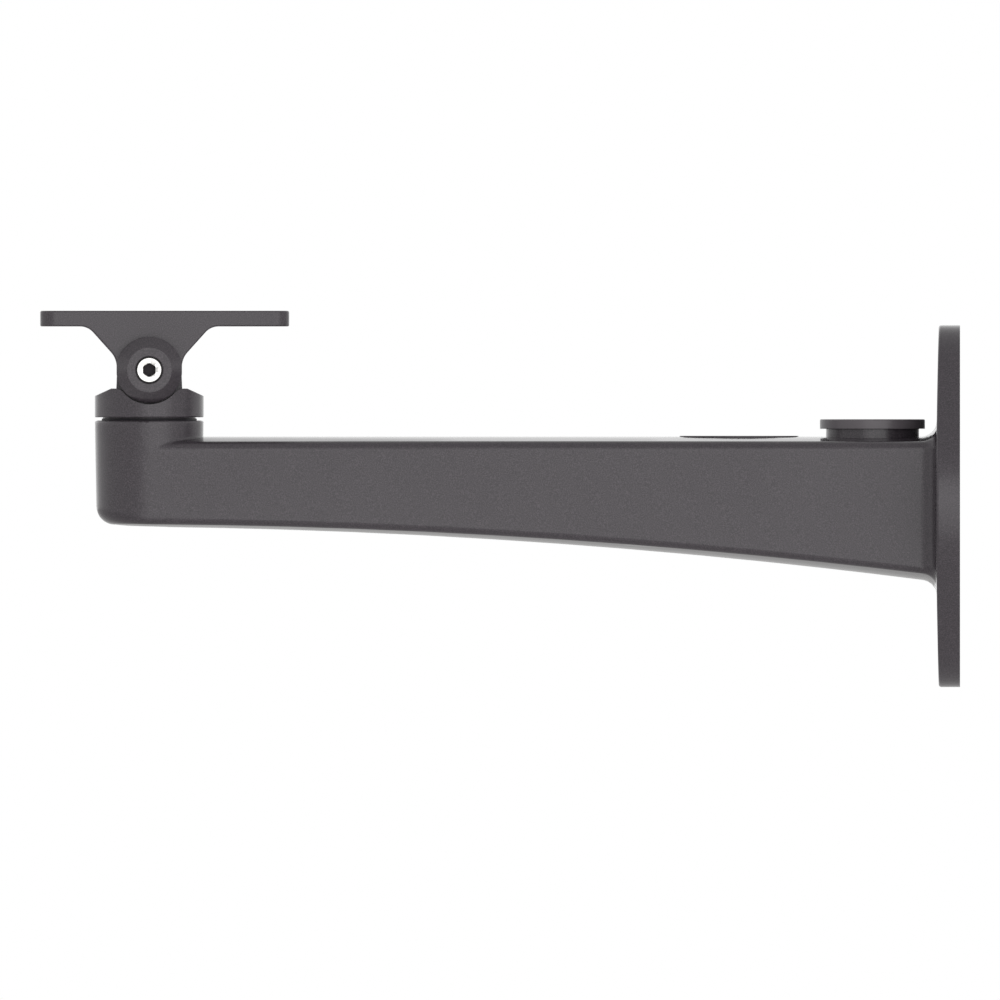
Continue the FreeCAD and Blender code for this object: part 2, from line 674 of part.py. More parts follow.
def make_swivel():
    make_ring("swivel_friction_ring", "XY_Plane", "-arm_reach", "0", "boss_top",
              "ring_radius", "ring_bore_radius", "ring_thick")
    body = new_body("swivel_base")
    foot = "boss_top + ring_thick"
    under = "boss_top + ring_thick + base_step"
    step = circle(new_sketch(body, "step_circle", "XY_Plane", {"z": foot}),
                  "-arm_reach", "0", "base_step_radius")
    feature(body, "Pad", "base_step_face", step, "2 * base_step")
    disc = circle(new_sketch(body, "base_circle", "XY_Plane", {"z": under}),
                  "-arm_reach", "0", "base_radius")
    feature(body, "Pad", "base_disc", disc, f"base_flat - ({under})")
    round_edges(body, "base_lower_rim", lambda edge: near(edge.BoundBox.ZMax, size(under))
                and is_round(edge, "base_radius"), "base_edge_round")
    lip = "sqrt(saddle_radius^2 - (tilt_axis - base_flat)^2)"
    out = "(base_radius + base_step)"
    rise = "(base_flat - base_shoulder) / (base_radius - base_flat_reach)"
    low = f"base_flat - ({out} - base_flat_reach) * {rise}"
    above = "tilt_axis"
    saddle = outline(new_sketch(body, "base_top_profile", "XZ_Plane",
                                {"x": "-arm_reach"}), [
        (f"-{out}", low),
        ("-base_flat_reach", "base_flat"),
        (f"-{lip}", "base_flat", "saddle_radius", 1),
        (lip, "base_flat"),
        ("base_flat_reach", "base_flat"),
        (out, low),
        (out, above),
        (f"-{out}", above)])
    feature(body, "Pocket", "base_top", saddle, "3 * base_radius", SideType="Symmetric")
    lip_x = size(lip)
    axis_x = -size("arm_reach")
    round_edges(body, "saddle_lips",
                lambda edge: near(abs(middle(edge).x - axis_x), lip_x)
                and near(middle(edge).z, size("base_flat")), "saddle_lip_round")
    lug_foot = f"(lug_half_width + lug_draft * (tilt_axis - ({under})))"
    lug = outline(new_sketch(body, "lug_profile", "XZ_Plane", {"x": "-arm_reach"}), [
        (f"-{lug_foot}", under),
        (lug_foot, under),
        ("lug_half_width", "tilt_axis", "lug_half_width", 1),
        ("-lug_half_width", "tilt_axis")])
    feature(body, "Pad", "lug", lug, "2 * lug_half_thick", SideType="Symmetric")
    pivot = circle(new_sketch(body, "pivot_circle", "XZ_Plane"),
                   "-arm_reach", "tilt_axis", "tilt_screw_radius + running_gap")
    feature(body, "Pocket", "pivot_bore", pivot, "4 * lug_half_thick",
            SideType="Symmetric")
    thread = circle(new_sketch(body, "thread_circle", "XY_Plane", {"z": foot}),
                    "-arm_reach", "0", "swivel_screw_radius + running_gap")
    feature(body, "Pocket", "screw_hole", thread, f"swivel_tip + swivel_hole_room - ({foot})",
            Reversed=True)
    seat = "swivel_tip - swivel_screw_length"
    make_cap_screw("swivel_screw", "XY_Plane", "0", seat, "swivel", -1)
    make_ring("swivel_spring_washer", "XY_Plane", "-arm_reach", "0", seat,
              "swivel_spring_radius", "swivel_screw_radius + running_gap",
              "swivel_spring_thick", split=True)


# Tilting head: camera plate, web and forked knuckle cast as one

def make_head():
    body = new_body("tilt_head")
    axis_x = -size("arm_reach")
    axis_z = size("tilt_axis")
    centre = {"x": "-arm_reach", "y": "tilt_axis"}
    drop = "sqrt(ear_radius^2 - neck_half_width^2)"
    side = outline(new_sketch(body, "head_profile", "XZ_Plane", centre), [
        ("-head_left", "head_under"),
        ("-flank_reach", "head_under"),
        ("-neck_half_width", "flank_rise"),
        ("-neck_half_width", f"-{drop}", "ear_radius", 1),
        ("neck_half_width", f"-{drop}"),
        ("neck_half_width", "flank_rise"),
        ("flank_reach", "head_under"),
        ("head_right", "head_under"),
        ("head_right", "head_top"),
        ("-head_left", "head_top")])
    feature(body, "Pad", "head_block", side, "2 * hub_half_width",
            SideType="Symmetric")

    def crease(reach, rise):
        return lambda edge: (near(abs(middle(edge).x - axis_x), size(reach))
                             and near(middle(edge).z - axis_z, size(rise)))
    round_edges(body, "plate_hollows", crease("flank_reach", "head_under"),
                "flank_plate_round")
    round_edges(body, "neck_hollows", crease("neck_half_width", "flank_rise"),
                "flank_neck_round")
    for name, sign in (("near", "-"), ("far", "")):
        cone = outline(new_sketch(body, name + "_hub_profile", "YZ_Plane",
                                  {"y": "tilt_axis", "z": "-arm_reach"}), [
            (f"{sign}head_half_width", "ear_radius"),
            (f"{sign}hub_root_reach", "ear_radius"),
            (f"{sign}hub_half_width", "hub_face_radius"),
            (f"{sign}2 * hub_half_width", "hub_face_radius"),
            (f"{sign}2 * hub_half_width", "2 * head_right"),
            (f"{sign}head_half_width", "2 * head_right")])
        spin(body, "Groove", name + "_hub", cone, "H_Axis")
    gap = outline(new_sketch(body, "fork_profile", "XZ_Plane", centre), [
        ("-flank_reach", "-2 * neck_half_width"),
        ("flank_reach", "-2 * neck_half_width"),
        ("flank_reach", "fork_crotch"),
        ("-flank_reach", "fork_crotch")])
    feature(body, "Pocket", "fork_gap", gap, "2 * fork_half_gap", SideType="Symmetric")
    half = size("head_half_width")
    tall = size("head_top - head_under")
    round_edges(body, "plate_corners",
                lambda edge: near(abs(middle(edge).y), half)
                and near(edge.BoundBox.ZLength, tall) and near(edge.BoundBox.XLength, 0),
                "head_corner")
    top = axis_z + size("head_top")
    under = axis_z + size("head_under")

    def outer_edge(edge):
        box = edge.BoundBox
        spot = middle(edge)
        across = near(box.XLength, 0)
        level = near(box.ZLength, 0) and (near(spot.z, top) or near(spot.z, under))
        at_end = abs(spot.x - axis_x) > size("head_left - head_corner")
        web = near(abs(spot.y), half) and near(box.YLength, 0) and box.ZMin > axis_z
        on_hub = is_round(edge, "ear_radius")
        return (level and (at_end or not across)) or (web and not (across or on_hub))
    round_edges(body, "head_outer_edges", outer_edge, "head_edge_round")
    slots = new_sketch(body, "slot_outlines", "XY_Plane", {"z": "tilt_axis + head_top"})
    plate_middle = "(head_right - head_left) / 2 - slot_offset - arm_reach"
    for along in ("-", "+"):
        for across in ("-", "+"):
            slot(slots, f"{plate_middle} {along} slot_spacing_x / 2",
                 f"0 {across} slot_spacing_y / 2", "slot_length", "slot_width")
    feature(body, "Pocket", "camera_slots", slots, "2 * (head_top - head_under)")
    pivot = circle(new_sketch(body, "head_pivot_circle", "XZ_Plane"),
                   "-arm_reach", "tilt_axis", "tilt_screw_radius + tilt_nut_play")
    feature(body, "Pocket", "head_pivot", pivot, "3 * hub_half_width",
            SideType="Symmetric")
    sink = circle(new_sketch(body, "head_sink_circle", "XZ_Plane",
                             {"z": "hub_half_width"}),
                  "-arm_reach", "tilt_axis", "tilt_sink_radius")
    feature(body, "Pocket", "head_sink", sink,
            "tilt_head_sink + tilt_head_height + tilt_spring_thick")
    near_face = -size("hub_half_width")
    round_edges(body, "sink_bevel",
                lambda edge: near(edge.BoundBox.YMax, near_face)
                and is_round(edge, "tilt_sink_radius"), "tilt_sink_bevel", "Chamfer")
    pocket = new_sketch(body, "nut_pocket_outline", "XZ_Plane",
                        {"z": "-hub_half_width"})
    hexagon(pocket, "-arm_reach", "tilt_axis", "tilt_nut_flats + tilt_nut_play")
    feature(body, "Pocket", "nut_pocket", pocket, f"hub_half_width - ({NUT_FLOOR})",
            Reversed=True)
    return body


def make_tilt_fasteners():
    make_cap_screw("tilt_screw", "XZ_Plane", "tilt_axis", TILT_SEAT, "tilt", 1)
    make_ring("tilt_spring_washer", "XZ_Plane", "-arm_reach", "tilt_axis",
              f"{TILT_SEAT} - tilt_spring_thick", "tilt_spring_radius",
              "tilt_screw_radius + running_gap", "tilt_spring_thick", split=True)
    nut = new_body("tilt_nut")
    flats = new_sketch(nut, "nut_outline", "XZ_Plane", {"z": f"-({NUT_FLOOR})"})
    hexagon(flats, "-arm_reach", "tilt_axis", "tilt_nut_flats")
    circle(flats, "-arm_reach", "tilt_axis", "tilt_screw_radius + running_gap")
    feature(nut, "Pad", "nut_prism", flats, "tilt_nut_height", Reversed=True)
    for name, level in (("near", "lug_half_thick"), ("far", "-fork_half_gap")):
        make_ring(f"tilt_friction_washer_{name}", "XZ_Plane", "-arm_reach", "tilt_axis",
                  level, "tilt_washer_radius", "tilt_screw_radius + tilt_nut_play",
                  "fork_half_gap - lug_half_thick")


# Build, check and write the pieces

PIECES = [
    "arm_casting", "entry_cap", "entry_seal", "swivel_friction_ring",
    "swivel_base", "swivel_screw", "swivel_spring_washer",
    "tilt_head", "tilt_screw", "tilt_spring_washer", "tilt_nut",
    "tilt_friction_washer_near", "tilt_friction_washer_far",
]


def main():
    make_casting()
    make_entry()
    make_swivel()
    make_head()
    make_tilt_fasteners()
    doc.recompute()
    failed = [item.Name for item in doc.Objects
              if "Invalid" in item.State or "Error" in item.State]
    if failed:
        raise SystemExit("not built: " + ", ".join(failed))
    os.makedirs("parts", exist_ok=True)
    for name in PIECES:
        shape = doc.getObject(name).Shape
        if shape.isNull() or not shape.isValid() or len(shape.Solids) != 1:
            raise SystemExit("not one sound solid: " + name)
        shape.exportStep(os.path.join("parts", name + ".step"))
        print(name, round(shape.Volume / 1000, 2), "cm3")


main()
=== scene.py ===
# Camera bracket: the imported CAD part, dressed for a studio picture.
# Everything is in metres, in the CAD part's frame: the wall is at +X, the arm runs along -X, +Z is up.
import math

import bmesh
import bpy
from mathutils import Matrix, Vector


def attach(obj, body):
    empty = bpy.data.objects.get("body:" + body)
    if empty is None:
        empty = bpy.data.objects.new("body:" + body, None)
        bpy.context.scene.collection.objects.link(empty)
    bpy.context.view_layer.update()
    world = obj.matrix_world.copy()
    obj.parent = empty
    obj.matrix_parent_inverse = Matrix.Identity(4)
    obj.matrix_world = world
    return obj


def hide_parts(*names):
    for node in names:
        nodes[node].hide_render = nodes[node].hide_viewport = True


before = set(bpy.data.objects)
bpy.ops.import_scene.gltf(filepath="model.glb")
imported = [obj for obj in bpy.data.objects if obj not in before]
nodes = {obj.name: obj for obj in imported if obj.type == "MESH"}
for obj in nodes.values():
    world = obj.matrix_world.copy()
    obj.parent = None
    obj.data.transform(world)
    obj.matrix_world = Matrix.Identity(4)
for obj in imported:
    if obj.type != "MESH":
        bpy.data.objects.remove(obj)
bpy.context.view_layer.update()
scene = bpy.context.scene
mm = 0.001
swivelX = -332.4 * mm        # the pan axis is upright, at this X and Y 0
tiltZ = 55.8 * mm            # the tilt axis crosses it at this height, along Y
print("frame loaded with", len(nodes), "CAD nodes")


def linearColour(hexValue):
    # sRGB hex to the linear RGBA that the shaders want
    channels = []
    for start in (1, 3, 5):
        value = int(hexValue[start:start + 2], 16) / 255
        channels.append(value / 12.92 if value <= 0.04045 else ((value + 0.055) / 1.055) ** 2.4)
    return (*channels, 1)


def addNode(tree, kind, values=None, links=None, **settings):
    # values go on the node's own sockets, links are socket: (node, output)
    node = tree.nodes.new(kind)
    for name, value in settings.items():
        setattr(node, name, value)
    for socket, value in (values or {}).items():
        node.inputs[socket].default_value = value
    for socket, (source, output) in (links or {}).items():
        tree.links.new(source.outputs[output], node.inputs[socket])
    return node


def mixColours(tree, first, second, factor):
    # from the first hex colour to the second, as the factor (node, output) goes from 0 to 1
    return addNode(tree, "ShaderNodeMix", {"A": linearColour(first), "B": linearColour(second)},
                   {"Factor": factor}, data_type="RGBA")


def spreadRoughness(tree, look, noise, swing=0.2):
    # between the look's two values, as the noise (node, output) swings round one half
    low, high = look["roughness"]
    return addNode(tree, "ShaderNodeMapRange",
                   {"From Min": 0.5 - swing, "From Max": 0.5 + swing, "To Min": low, "To Max": high},
                   {"Value": noise})


def newMaterial(name):
    # a node tree with only its output and one Principled shader
    material = bpy.data.materials.new(name)
    material.use_nodes = True
    tree = material.node_tree
    tree.nodes.clear()
    shader = addNode(tree, "ShaderNodeBsdfPrincipled")
    addNode(tree, "ShaderNodeOutputMaterial", links={"Surface": (shader, "BSDF")})
    return material, tree, shader


# Polyester powder coat, sprayed and baked on die cast aluminium. The eye sees a charcoal skin with a very
# fine orange peel, a satin gloss, and grains that sparkle a little lighter and darker than their ground.
powderCoat = {
    "ground": "#3E393E",
    "darkGrain": "#302B30",
    "lightGrain": "#534C52",
    "roughness": (0.28, 0.34),
    "grazingRoughness": 0.1,     # seen nearly edge on, the film's small waves hide each other
    "grazingFrom": 0.6,          # share of the way to edge on where that starts, and where it is full
    "grazingFull": 0.85,
    "ior": 1.5,
    "grainSize": 0.45 * mm,      # drawn about four times as coarse as the real grit, so that it shows
    "grainBump": 0.25,
    "grainDepth": 0.02 * mm,
    "peelSize": 1.6 * mm,
    "peelBump": 0.12,
    "peelDepth": 0.03 * mm,
    "cloudSize": 45 * mm,        # slow change in the film's thickness
    "edgeRound": 0.3 * mm,       # the film softens every cast edge
    "seatRound": 2.2 * mm,       # the casting's blend from the arm's top to the swivel seat
    "seatFrom": -309 * mm,       # that blend starts at this X and is full at the next
    "seatFull": -313 * mm,
    "seatTop": 33.5 * mm,        # and it stays below the seat's rim
}


def makePowderCoat(look, name, blendsSeat):
    material, tree, shader = newMaterial(name)
    place = addNode(tree, "ShaderNodeTexCoord")
    grain = addNode(tree, "ShaderNodeTexNoise",
                    {"Scale": 1 / look["grainSize"], "Detail": 2, "Roughness": 0.6},
                    {"Vector": (place, "Object")})
    peel = addNode(tree, "ShaderNodeTexNoise", {"Scale": 1 / look["peelSize"], "Detail": 2},
                   {"Vector": (place, "Object")})
    cloud = addNode(tree, "ShaderNodeTexNoise", {"Scale": 1 / look["cloudSize"], "Detail": 3},
                    {"Vector": (place, "Object")})
    colour = addNode(tree, "ShaderNodeValToRGB", links={"Fac": (grain, "Fac")})
    ramp = colour.color_ramp
    ramp.elements[0].position, ramp.elements[0].color = 0.3, linearColour(look["darkGrain"])
    ramp.elements[1].position, ramp.elements[1].color = 0.7, linearColour(look["lightGrain"])
    ramp.elements.new(0.5).color = linearColour(look["ground"])
    film = spreadRoughness(tree, look, (cloud, "Fac"))
    softEdge = addNode(tree, "ShaderNodeBevel", {"Radius": look["edgeRound"]}, samples=8)
    if blendsSeat:
        axes = addNode(tree, "ShaderNodeSeparateXYZ", links={"Vector": (place, "Object")})
        nearSeat = addNode(tree, "ShaderNodeMapRange",
                           {"From Min": look["seatFrom"], "From Max": look["seatFull"]},
                           {"Value": (axes, "X")})
        belowRim = addNode(tree, "ShaderNodeMapRange",
                           {"From Min": look["seatTop"] + mm, "From Max": look["seatTop"]},
                           {"Value": (axes, "Z")})
        both = addNode(tree, "ShaderNodeMath", links={0: (nearSeat, "Result"), 1: (belowRim, "Result")},
                       operation="MULTIPLY")
        roundness = addNode(tree, "ShaderNodeMapRange",
                            {"To Min": look["edgeRound"], "To Max": look["seatRound"]},
                            {"Value": (both, "Value")})
        tree.links.new(roundness.outputs["Result"], softEdge.inputs["Radius"])
    slant = addNode(tree, "ShaderNodeLayerWeight", links={"Normal": (softEdge, "Normal")})
    grazing = addNode(tree, "ShaderNodeMapRange",
                      {"From Min": look["grazingFrom"], "From Max": look["grazingFull"]},
                      {"Value": (slant, "Facing")})
    gloss = addNode(tree, "ShaderNodeMix", {"B": look["grazingRoughness"]},
                    {"Factor": (grazing, "Result"), "A": (film, "Result")})
    peelBump = addNode(tree, "ShaderNodeBump", {"Strength": look["peelBump"], "Distance": look["peelDepth"]},
                       {"Height": (peel, "Fac"), "Normal": (softEdge, "Normal")})
    grainBump = addNode(tree, "ShaderNodeBump",
                        {"Strength": look["grainBump"], "Distance": look["grainDepth"]},
                        {"Height": (grain, "Fac"), "Normal": (peelBump, "Normal")})
    shader.inputs["IOR"].default_value = look["ior"]
    tree.links.new(colour.outputs["Color"], shader.inputs["Base Color"])
    tree.links.new(gloss.outputs["Result"], shader.inputs["Roughness"])
    tree.links.new(grainBump.outputs["Normal"], shader.inputs["Normal"])
    return material


# Glass filled nylon, injection moulded in a polished tool. The eye sees a smooth charcoal cap, a shade
# lighter than the casting, with a faint flow pattern in its gloss and no sparkle.
mouldedNylon = {
    "ground": "#605B5F",
    "deep": "#595458",
    "roughness": (0.31, 0.38),
    "ior": 1.45,
    "flowSize": 9 * mm,
    "skinSize": 0.5 * mm,
    "skinBump": 0.08,
    "skinDepth": 0.01 * mm,
    "edgeRound": 0.25 * mm,
}


def makeMouldedNylon(look):
    material, tree, shader = newMaterial("moulded_glass_filled_nylon")
    place = addNode(tree, "ShaderNodeTexCoord")
    flow = addNode(tree, "ShaderNodeTexNoise",
                   {"Scale": 1 / look["flowSize"], "Detail": 4, "Distortion": 0.6},
                   {"Vector": (place, "Object")})
    skin = addNode(tree, "ShaderNodeTexNoise", {"Scale": 1 / look["skinSize"], "Detail": 2},
                   {"Vector": (place, "Object")})
    colour = mixColours(tree, look["deep"], look["ground"], (flow, "Fac"))
    gloss = spreadRoughness(tree, look, (flow, "Fac"), 0.15)
    softEdge = addNode(tree, "ShaderNodeBevel", {"Radius": look["edgeRound"]}, samples=6)
    bump = addNode(tree, "ShaderNodeBump", {"Strength": look["skinBump"], "Distance": look["skinDepth"]},
                   {"Height": (skin, "Fac"), "Normal": (softEdge, "Normal")})
    shader.inputs["IOR"].default_value = look["ior"]
    tree.links.new(colour.outputs["Result"], shader.inputs["Base Color"])
    tree.links.new(gloss.outputs["Result"], shader.inputs["Roughness"])
    tree.links.new(bump.outputs["Normal"], shader.inputs["Normal"])
    return material


# Stainless steel, A2, turned and tumbled. The eye sees a bright neutral metal with shallow turning rings
# round the screw's axis, which stretch its reflections.
turnedStainless = {
    "ground": "#D9D8D5",
    "worn": "#C9C8C6",
    "roughness": (0.16, 0.26),
    "ringPitch": 2.3 * mm,       # tool marks, drawn much coarser than they are, so that they show
    "ringBump": 0.06,
    "ringDepth": 0.01 * mm,
    "tumbleSize": 0.8 * mm,
    "edgeRound": 0.12 * mm,
}
waveLength = 2 * math.pi / 20    # of a wave texture whose scale is 1


def makeTurnedStainless(look, name, axis, centre):
    # rings run round a line through centre, along axis "Y" or "Z"
    material, tree, shader = newMaterial(name)
    place = addNode(tree, "ShaderNodeTexCoord")
    centred = addNode(tree, "ShaderNodeMapping", {"Location": [-value for value in centre]},
                      {"Vector": (place, "Object")})
    rings = addNode(tree, "ShaderNodeTexWave",
                    {"Scale": waveLength / look["ringPitch"], "Distortion": 0.4, "Detail": 1},
                    {"Vector": (centred, "Vector")}, wave_type="RINGS", rings_direction=axis)
    tumble = addNode(tree, "ShaderNodeTexNoise", {"Scale": 1 / look["tumbleSize"], "Detail": 4},
                     {"Vector": (place, "Object")})
    colour = mixColours(tree, look["worn"], look["ground"], (tumble, "Fac"))
    gloss = spreadRoughness(tree, look, (tumble, "Fac"))
    softEdge = addNode(tree, "ShaderNodeBevel", {"Radius": look["edgeRound"]}, samples=4)
    bump = addNode(tree, "ShaderNodeBump", {"Strength": look["ringBump"], "Distance": look["ringDepth"]},
                   {"Height": (rings, "Fac"), "Normal": (softEdge, "Normal")})
    shader.inputs["Metallic"].default_value = 1
    tree.links.new(colour.outputs["Result"], shader.inputs["Base Color"])
    tree.links.new(gloss.outputs["Result"], shader.inputs["Roughness"])
    tree.links.new(bump.outputs["Normal"], shader.inputs["Normal"])
    return material


# Acetal, turned from black rod. The eye sees a smooth, slightly waxy black with a soft highlight.
turnedAcetal = {
    "ground": "#16111A", "rub": "#1F191F", "roughness": (0.45, 0.55), "ior": 1.35, "rubSize": 2.5 * mm,
}

# Silicone rubber, moulded. The eye sees a dull black that takes hardly any highlight.
sealRubber = {
    "ground": "#121212", "rub": "#1C1C1D", "roughness": (0.57, 0.67), "ior": 1.43, "rubSize": 0.7 * mm,
}
dullBump = 0.1               # of both, and of the sockets below
dullDepth = 0.01 * mm


def makeDullBlack(look, name):
    material, tree, shader = newMaterial(name)
    place = addNode(tree, "ShaderNodeTexCoord")
    rub = addNode(tree, "ShaderNodeTexNoise", {"Scale": 1 / look["rubSize"], "Detail": 4},
                  {"Vector": (place, "Object")})
    colour = mixColours(tree, look["ground"], look["rub"], (rub, "Fac"))
    gloss = spreadRoughness(tree, look, (rub, "Fac"))
    bump = addNode(tree, "ShaderNodeBump", {"Strength": dullBump, "Distance": dullDepth},
                   {"Height": (rub, "Fac")})
    shader.inputs["IOR"].default_value = look["ior"]
    tree.links.new(colour.outputs["Result"], shader.inputs["Base Color"])
    tree.links.new(gloss.outputs["Result"], shader.inputs["Roughness"])
    tree.links.new(bump.outputs["Normal"], shader.inputs["Normal"])
    return material


# Inside of a broached hexagon socket: a dull dark material painted in as the shade that falls in the hole.
# The eye sees a dull dark hole.
paintedSocketShade = {
    "ground": "#343034", "rub": "#413D41", "roughness": (0.65, 0.75), "ior": 1.3, "rubSize": 0.6 * mm,
}

coatMaterial = makePowderCoat(powderCoat, "polyester_powder_coat", False)
armCoatMaterial = makePowderCoat(powderCoat, "polyester_powder_coat_on_arm", True)
nylonMaterial = makeMouldedNylon(mouldedNylon)
acetalMaterial = makeDullBlack(turnedAcetal, "turned_black_acetal")
rubberMaterial = makeDullBlack(sealRubber, "moulded_silicone_rubber")
# painted shade for the inside of the screw sockets
socketShadeMaterial = makeDullBlack(paintedSocketShade, "socket_painted_shade")
swivelSteel = makeTurnedStainless(turnedStainless, "turned_stainless_upright", "Z", (swivelX, 0, 0))
tiltSteel = makeTurnedStainless(turnedStainless, "turned_stainless_across", "Y", (swivelX, 0, tiltZ))

nodeFinishes = {
    "arm_casting": armCoatMaterial,
    "swivel_base": coatMaterial,
    "tilt_head": coatMaterial,
    "entry_cap": nylonMaterial,
    "entry_seal": rubberMaterial,
    "swivel_friction_ring": acetalMaterial,
    "tilt_friction_washer_near": acetalMaterial,
    "tilt_friction_washer_far": acetalMaterial,
    "swivel_screw": swivelSteel,
    "swivel_spring_washer": swivelSteel,
    "tilt_screw": tiltSteel,
    "tilt_spring_washer": tiltSteel,
    "tilt_nut": tiltSteel,
}
for nodeName, finish in nodeFinishes.items():
    slots = nodes[nodeName].data.materials
    slots.clear()
    slots.append(finish)
print("finishes on the CAD nodes")


# Fasteners. Each is made standing on the origin with its head up, then turned into its place: by the
# second angle about Z, and after that by the first about X.
tiltScrew = {
    "node": "tilt_screw", "body": "head", "place": (swivelX, -18.5 * mm, tiltZ), "turn": (90, 0),
    "headRadius": 5 * mm, "headHeight": 6 * mm, "headBevel": 0.12 * mm,
    "socketFlats": 5.1 * mm, "socketCorner": 2.73 * mm, "socketDepth": 3 * mm,
    "radius": 3 * mm, "length": 40 * mm, "pitch": 1 * mm, "threaded": 24 * mm,
}
swivelScrew = {
    "node": "swivel_screw", "body": "swivel", "place": (swivelX, 0, 6.5 * mm), "turn": (180, 0),
    "headRadius": 8 * mm, "headHeight": 10 * mm, "headBevel": 0.5 * mm,
    "socketFlats": 8 * mm, "socketCorner": 4.35 * mm, "socketDepth": 5 * mm,
    "radius": 5 * mm, "length": 40 * mm, "pitch": 1.5 * mm, "threaded": 30 * mm,
}
ringSteps = 48               # divides by six, so that a hexagon's sides meet the rings
socketChamfer = 0.15 * mm    # round the mouth of a socket
neckRound = 0.3 * mm         # under a screw's head, and round the head's seat
weldWithin = 0.002 * mm      # points that are nearer than that become one
sharpFrom = 30               # degrees between two faces, past which the edge between them looks sharp


def profileEdges(shape, points):
    # an open line of (radius, height) points, ready to be spun round Z
    corners = [shape.verts.new((radius, 0, height)) for radius, height in points]
    edges = [shape.edges.new(pair) for pair in zip(corners, corners[1:])]
    return corners + edges


def spinRound(shape, geometry, angle=2 * math.pi, steps=ringSteps, climb=0.0):
    full = climb == 0 and angle >= 2 * math.pi
    bmesh.ops.spin(shape, geom=geometry, cent=(0, 0, 0), axis=(0, 0, 1), dvec=(0, 0, climb),
                   angle=angle, steps=steps, use_merge=full, use_duplicate=False)


def addHexagon(shape, flats, height):
    # a hexagon's line with as many points as a spun ring has
    made = bmesh.ops.create_circle(shape, segments=6, radius=flats / 2 / math.cos(math.pi / 6),
                                   matrix=Matrix.Translation((0, 0, height)))
    sides = list({edge for vert in made["verts"] for edge in vert.link_edges})
    cut = bmesh.ops.subdivide_edges(shape, edges=sides, cuts=ringSteps // 6 - 1)
    return [item for item in cut["geom"] if isinstance(item, bmesh.types.BMEdge)]


def ringAt(shape, radius, height, slack=0.01 * mm):
    return [edge for edge in shape.edges if all(abs(vert.co.z - height) < slack and
            abs(vert.co.to_2d().length - radius) < slack for vert in edge.verts)]


def addThread(shape, radius, pitch, top, bottom):
    # an ISO thread between two heights
    root = radius - 0.61 * pitch
    turns = math.ceil((top - bottom) / pitch) + 2
    start = bottom - pitch
    part = bmesh.new()
    profile = profileEdges(part, [
        (root, start), (radius, start + 3 / 8 * pitch), (radius, start + pitch / 2),
        (root, start + 7 / 8 * pitch), (root, start + pitch)])
    threadSteps = 24
    spinRound(part, profile, 2 * math.pi * turns, threadSteps * turns, pitch / threadSteps)
    bmesh.ops.remove_doubles(part, verts=part.verts, dist=weldWithin)
    for height, way in ((top, 1), (bottom, -1)):
        cut = bmesh.ops.bisect_plane(part, geom=part.verts[:] + part.edges[:] + part.faces[:], dist=1e-7,
                                     plane_co=(0, 0, height), plane_no=(0, 0, way), clear_outer=True)
        rim = [item for item in cut["geom_cut"] if isinstance(item, bmesh.types.BMEdge)]
        bmesh.ops.contextual_create(part, geom=rim)
    bmesh.ops.recalc_face_normals(part, faces=part.faces)
    joinInto(shape, part)


def joinInto(shape, part):
    # copies one bmesh into another
    carrier = bpy.data.meshes.new("carrier")
    part.to_mesh(carrier)
    part.free()
    shape.from_mesh(carrier)
    bpy.data.meshes.remove(carrier)


def finishFastener(shape, look, name, materials):
    # turned into place, shaded smooth, riding with its body in the CAD node's stead
    tip, twist = (math.radians(angle) for angle in look["turn"])
    turn = Matrix.Rotation(tip, 4, "X") @ Matrix.Rotation(twist, 4, "Z")
    bmesh.ops.transform(shape, matrix=Matrix.Translation(look["place"]) @ turn, verts=shape.verts)
    mesh = bpy.data.meshes.new(name)
    shape.to_mesh(mesh)
    shape.free()
    for material in materials:
        mesh.materials.append(material)
    mesh.shade_smooth()
    mesh.set_sharp_from_angle(angle=math.radians(sharpFrom))
    piece = bpy.data.objects.new(name, mesh)
    scene.collection.objects.link(piece)
    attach(piece, look["body"])
    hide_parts(look["node"])


def makeSocketScrew(look, name, steel, shadeInSocket):
    head = bmesh.new()
    top, bevel, radius = look["headHeight"], look["headBevel"], look["headRadius"]
    mouth = look["socketCorner"] + socketChamfer
    plain = look["threaded"] - look["length"]
    profile = profileEdges(head, [
        (mouth, top), (radius - bevel, top), (radius, top - bevel),
        (radius, neckRound), (radius - neckRound, 0),
        (look["radius"] + neckRound, 0), (look["radius"], -neckRound),
        (look["radius"], plain), (0, plain)])
    spinRound(head, profile)
    bmesh.ops.remove_doubles(head, verts=head.verts, dist=weldWithin)
    hexLine = addHexagon(head, look["socketFlats"], top - socketChamfer)
    for vert in {vert for edge in hexLine for vert in edge.verts}:
        # the socket's corners are rounded off
        vert.co.xy *= min(1, look["socketCorner"] / vert.co.to_2d().length)
    bmesh.ops.bridge_loops(head, edges=ringAt(head, mouth, top) + hexLine)
    known = set(head.faces)
    down = bmesh.ops.extrude_edge_only(head, edges=hexLine)
    lower = [item for item in down["geom"] if isinstance(item, bmesh.types.BMVert)]
    bmesh.ops.translate(head, verts=lower, vec=(0, 0, -look["socketDepth"]))
    foot = [item for item in down["geom"] if isinstance(item, bmesh.types.BMEdge)]
    bmesh.ops.contextual_create(head, geom=[edge for edge in foot if all(v in lower for v in edge.verts)])
    # the socket's walls and floor take the second slot, the painted shade
    for face in set(head.faces) - known:
        face.material_index = 1
    bmesh.ops.recalc_face_normals(head, faces=head.faces)
    addThread(head, look["radius"], look["pitch"], plain, -look["length"])
    finishFastener(head, look, name, [steel, shadeInSocket])


tiltNut = {
    "node": "tilt_nut", "body": "head", "place": (swivelX, 16.3 * mm, tiltZ), "turn": (-90, 30),
    "flats": 10 * mm, "height": 5 * mm, "faceRadius": 4.9 * mm, "holeRadius": 3.1 * mm,
    "coneAngle": 30,             # degrees, of the cones that turn its corners off
}


